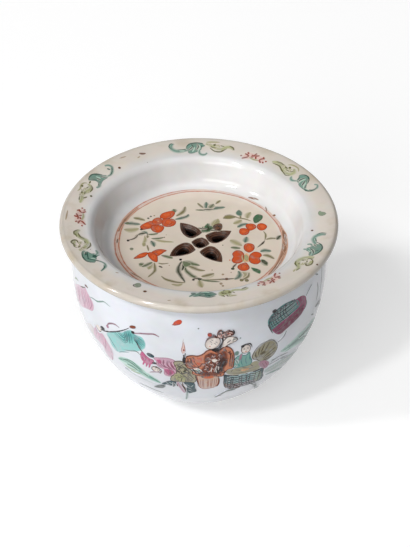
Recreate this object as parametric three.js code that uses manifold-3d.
// A porcelain cricket box: a round bowl on a low foot ring, and a dished cover with a pierced flower in its floor.
// Millimetres, +Z up. The origin is the centre of the foot's resting face, and +Y points away from the viewer.

import * as THREE from "three";
import { mergeVertices } from "three/addons/utils/BufferGeometryUtils.js";
import Module from "manifold-3d";

// Bowl: a straight upper wall, a long belly curve, a quick turn-in and a foot ring
const mouthRadius = 51.3;
const bowlWall = 3.0;
const straightWallHeight = 19.8;
const bellyCurveRadius = 72.3;
const bellyCurveAngle = 44;
const turnInRadius = 12.0;
const turnInEndAngle = 76;
const rimRounding = 0.8;
const bowlFloorThickness = 3.8;

// Foot ring under the bowl
const footHeight = 2.6;
const footWidth = 3.4;
const footTaper = 0.9;
const footRecessDepth = 2.0;

// Cover: a rounded lip, a broad flange, a dished well and a locating ring that drops into the mouth
const seatGap = 0.3;
const flangeOverhang = 3.7;
const lipRadius = 1.6;
const flangeFall = 1.7;
const shoulderRounding = 1.6;
const wellInset = 5.4;
const wellDepth = 11.5;
const cavettoWidth = 7.0;
const wellWall = 2.6;
const wellFloorThickness = 2.6;
const locatingRingHeight = 3.4;
const locatingRingWidth = 2.6;
const locatingClearance = 0.8;

// Pierced flower in the middle of the well's floor: four petals round a lozenge
const petalLength = 10.2;
const petalBelly = 5.4;
const petalBack = 1.5;
const lozengeHalfWidth = 3.4;
const lozengeHalfDepth = 3.3;
const lozengeMiddle = [0.6, -0.7];
const lozengeTurn = -10;
const piercingTaper = 0.82;
const petalPlaces = [
  { inner: [0.9, 6.0], direction: 144, bellySide: 1 },
  { inner: [2.9, 3.9], direction: 16, bellySide: -1 },
  { inner: [-1.7, -5.1], direction: 201, bellySide: -1 },
  { inner: [0.6, -6.4], direction: 324, bellySide: 1 },
];

// How finely the round forms are cut
const stepsRound = 72;
const stepsBelly = 9;
const stepsTurnIn = 4;
const stepsRim = 3;
const stepsLip = 8;
const stepsCavetto = 7;
const stepsShoulder = 3;
const stepsOutlineCurve = 7;
const cutterOverrun = 1.0;

const degrees = (angle) => (angle * Math.PI) / 180;

// Points along an elliptical arc in the radius and height plane; angle 0 points outwards and 90 points up
function arc(centreRadius, centreHeight, halfWidth, halfHeight, from, to, steps) {
  const points = [];
  for (let i = 0; i <= steps; i += 1) {
    const angle = degrees(from + ((to - from) * i) / steps);
    points.push(
      new THREE.Vector2(
        centreRadius + halfWidth * Math.cos(angle),
        centreHeight + halfHeight * Math.sin(angle),
      ),
    );
  }
  return points;
}

const at = (radius, height) => new THREE.Vector2(radius, height);

// A closed profile turned round the vertical axis
function turned(profile) {
  const distinct = profile.filter((point, i) => i === 0 || point.distanceTo(profile[i - 1]) > 0.001);
  return new THREE.LatheGeometry(distinct, stepsRound).rotateX(Math.PI / 2);
}

// Heights of the bowl's outer curve, from the foot up
const turnInDrop = turnInRadius * (Math.sin(degrees(turnInEndAngle)) - Math.sin(degrees(bellyCurveAngle)));
const bellyDrop = bellyCurveRadius * Math.sin(degrees(bellyCurveAngle));
const bellyEndHeight = footHeight + turnInDrop;
const bellyTopHeight = bellyEndHeight + bellyDrop;
const rimHeight = bellyTopHeight + straightWallHeight;
const bellyCentreRadius = mouthRadius - bellyCurveRadius;
const bellyEndRadius = bellyCentreRadius + bellyCurveRadius * Math.cos(degrees(bellyCurveAngle));
const turnInCentreRadius = bellyEndRadius - turnInRadius * Math.cos(degrees(bellyCurveAngle));
const turnInCentreHeight = bellyEndHeight + turnInRadius * Math.sin(degrees(bellyCurveAngle));
const footOuterRadius = turnInCentreRadius + turnInRadius * Math.cos(degrees(turnInEndAngle));
const mouthInnerRadius = mouthRadius - bowlWall;

function bowlGeometry() {
  const innerCurveRadius = bellyCurveRadius - bowlWall;
  const innerFloorHeight = footRecessDepth + bowlFloorThickness;
  const innerEndSine = Math.min((bellyTopHeight - innerFloorHeight) / innerCurveRadius, 0.95);
  const innerEndAngle = (Math.asin(innerEndSine) * 180) / Math.PI;
  const innerFloorEnd = bellyTopHeight - innerCurveRadius * innerEndSine;
  const footBottomOuter = footOuterRadius - footTaper;
  const footBottomInner = footOuterRadius - footWidth;
  const underside = [
    at(0, footRecessDepth),
    at(footBottomInner - footTaper, footRecessDepth),
    at(footBottomInner, 0),
    at(footBottomOuter, 0),
  ];
  const turnIn = arc(
    turnInCentreRadius, turnInCentreHeight, turnInRadius, turnInRadius,
    -turnInEndAngle, -bellyCurveAngle, stepsTurnIn,
  );
  const belly = arc(
    bellyCentreRadius, bellyTopHeight, bellyCurveRadius, bellyCurveRadius,
    -bellyCurveAngle, 0, stepsBelly,
  );
  const rimCentreHeight = rimHeight - rimRounding;
  const rimOutside = arc(
    mouthRadius - rimRounding, rimCentreHeight, rimRounding, rimRounding, 0, 90, stepsRim,
  );
  const rimInside = arc(
    mouthInnerRadius + rimRounding, rimCentreHeight, rimRounding, rimRounding, 90, 180, stepsRim,
  );
  const inside = arc(
    bellyCentreRadius, bellyTopHeight, innerCurveRadius, innerCurveRadius,
    0, -innerEndAngle, stepsBelly,
  );
  return turned([
    ...underside, ...turnIn, ...belly, ...rimOutside, ...rimInside, ...inside, at(0, innerFloorEnd),
  ]);
}

// Heights and radii of the cover, worked out from the bowl's mouth
const seatHeight = rimHeight + seatGap;
const flangeRadius = mouthRadius + flangeOverhang;
const lipHeight = seatHeight + lipRadius;
const lipCentreRadius = flangeRadius - lipRadius;
const locatingRadius = mouthInnerRadius - locatingClearance;
const wellTopRadius = locatingRadius - wellInset;
const shoulderHeight = lipHeight + lipRadius - flangeFall;
const wellFloorHeight = lipHeight - wellDepth;
const wellFloorRadius = wellTopRadius - cavettoWidth;

function coverGeometry() {
  const cavettoHeight = shoulderHeight - shoulderRounding - wellFloorHeight;
  const undersideHeight = wellFloorHeight - wellFloorThickness;
  const ringBottom = seatHeight - locatingRingHeight;
  const ringInnerRadius = Math.max(locatingRadius - locatingRingWidth, wellTopRadius + wellWall);
  const wellOutside = arc(
    wellFloorRadius, ringBottom, ringInnerRadius - wellFloorRadius, ringBottom - undersideHeight,
    -90, 0, stepsCavetto,
  );
  const lip = arc(lipCentreRadius, lipHeight, lipRadius, lipRadius, -90, 90, stepsLip);
  const shoulder = arc(
    wellTopRadius + shoulderRounding, shoulderHeight - shoulderRounding,
    shoulderRounding, shoulderRounding, 90, 180, stepsShoulder,
  );
  const cavetto = arc(
    wellFloorRadius, wellFloorHeight + cavettoHeight, cavettoWidth, cavettoHeight,
    0, -90, stepsCavetto,
  );
  return turned([
    at(0, undersideHeight),
    ...wellOutside,
    at(locatingRadius, ringBottom),
    at(locatingRadius, seatHeight),
    ...lip,
    ...shoulder,
    ...cavetto,
    at(0, wellFloorHeight),
  ]);
}

// A petal lies along +X from its inner end to its point, with its full belly on one side
function petalOutline(bellySide) {
  const belly = petalBelly * bellySide;
  const back = petalBack * bellySide;
  return new THREE.Shape()
    .moveTo(0, 0)
    .bezierCurveTo(-0.02 * petalLength, 0.75 * belly, 0.1 * petalLength, 1.05 * belly,
      0.32 * petalLength, belly)
    .bezierCurveTo(0.62 * petalLength, 0.93 * belly, 0.86 * petalLength, 0.45 * belly, petalLength, 0)
    .bezierCurveTo(0.75 * petalLength, -back, 0.25 * petalLength, -1.5 * back, 0, 0);
}

function lozengeOutline() {
  const w = lozengeHalfWidth;
  const d = lozengeHalfDepth;
  return new THREE.Shape()
    .moveTo(w, 0)
    .quadraticCurveTo(0.6 * w, 0.75 * d, 0, d)
    .quadraticCurveTo(-0.6 * w, 0.75 * d, -w, 0)
    .quadraticCurveTo(-0.6 * w, -0.75 * d, 0, -d)
    .quadraticCurveTo(0.6 * w, -0.75 * d, w, 0);
}

// A cutter runs through the floor and narrows downwards about its own middle
function piercingCutter(outline, place, turn) {
  const depth = wellFloorThickness + 2 * cutterOverrun;
  const geometry = new THREE.ExtrudeGeometry(outline, {
    depth, steps: 1, bevelEnabled: false, curveSegments: stepsOutlineCurve,
  });
  geometry.computeBoundingBox();
  const middle = geometry.boundingBox.getCenter(new THREE.Vector3());
  const position = geometry.attributes.position;
  for (let i = 0; i < position.count; i += 1) {
    const share = position.getZ(i) / depth;
    const narrowing = piercingTaper + (1 - piercingTaper) * share;
    position.setX(i, middle.x + (position.getX(i) - middle.x) * narrowing);
    position.setY(i, middle.y + (position.getY(i) - middle.y) * narrowing);
  }
  const bottom = wellFloorHeight - wellFloorThickness - cutterOverrun;
  return geometry.rotateZ(degrees(turn)).translate(place[0], place[1], bottom);
}

const wasm = await Module();
wasm.setup();

function solidFrom(geometry) {
  const bare = geometry.clone();
  bare.deleteAttribute("normal");
  bare.deleteAttribute("uv");
  const merged = mergeVertices(bare, 1e-4);
  return new wasm.Manifold(new wasm.Mesh({
    numProp: 3,
    vertProperties: new Float32Array(merged.attributes.position.array),
    triVerts: new Uint32Array(merged.index.array),
  }));
}

function geometryFrom(solid) {
  const mesh = solid.getMesh();
  const geometry = new THREE.BufferGeometry();
  geometry.setAttribute("position", new THREE.BufferAttribute(new Float32Array(mesh.vertProperties), 3));
  geometry.setIndex(new THREE.BufferAttribute(new Uint32Array(mesh.triVerts), 1));
  geometry.computeVertexNormals();
  return geometry;
}

function piercedCoverGeometry() {
  let cover = solidFrom(coverGeometry());
  for (const petal of petalPlaces) {
    const cutter = piercingCutter(petalOutline(petal.bellySide), petal.inner, petal.direction);
    cover = cover.subtract(solidFrom(cutter));
  }
  cover = cover.subtract(solidFrom(piercingCutter(lozengeOutline(), lozengeMiddle, lozengeTurn)));
  return geometryFrom(cover);
}

const bowlGlaze = new THREE.MeshStandardMaterial({ color: 0xdde2ea, roughness: 0.14, metalness: 0 });
const coverGlaze = new THREE.MeshStandardMaterial({ color: 0xd9d2c6, roughness: 0.16, metalness: 0 });

const bowl = new THREE.Mesh(bowlGeometry(), bowlGlaze);
bowl.name = "bowl";

const cover = new THREE.Mesh(piercedCoverGeometry(), coverGlaze);
cover.name = "cover";

const cricketBox = new THREE.Group();
cricketBox.name = "cricket_box";
cricketBox.add(bowl, cover);

export default cricketBox;
